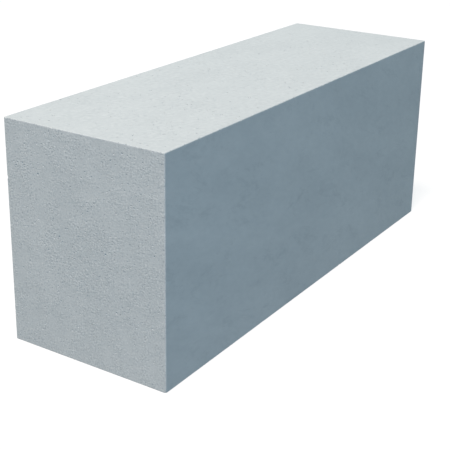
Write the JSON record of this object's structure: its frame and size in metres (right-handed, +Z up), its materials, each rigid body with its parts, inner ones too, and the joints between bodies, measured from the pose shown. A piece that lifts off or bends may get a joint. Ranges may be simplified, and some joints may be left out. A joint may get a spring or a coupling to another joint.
{
  "type": "aerated concrete block",
  "caption": "Solid rectangular aerated concrete masonry block with flat wire-cut faces and lightly worn arrises, laid in courses to build walls.",
  "frame": {"origin": "centre of the bottom bed face", "axes": "+X along the block's length, +Y across its width, +Z up through the top bed face"},
  "size_m": [0.6, 0.2, 0.25],
  "materials": {
    "aerated_concrete": "matte, wire-cut, fine open pores"
  },
  "bodies": {
    "root": {"block": "aerated_concrete"}
  },
  "joints": []
}
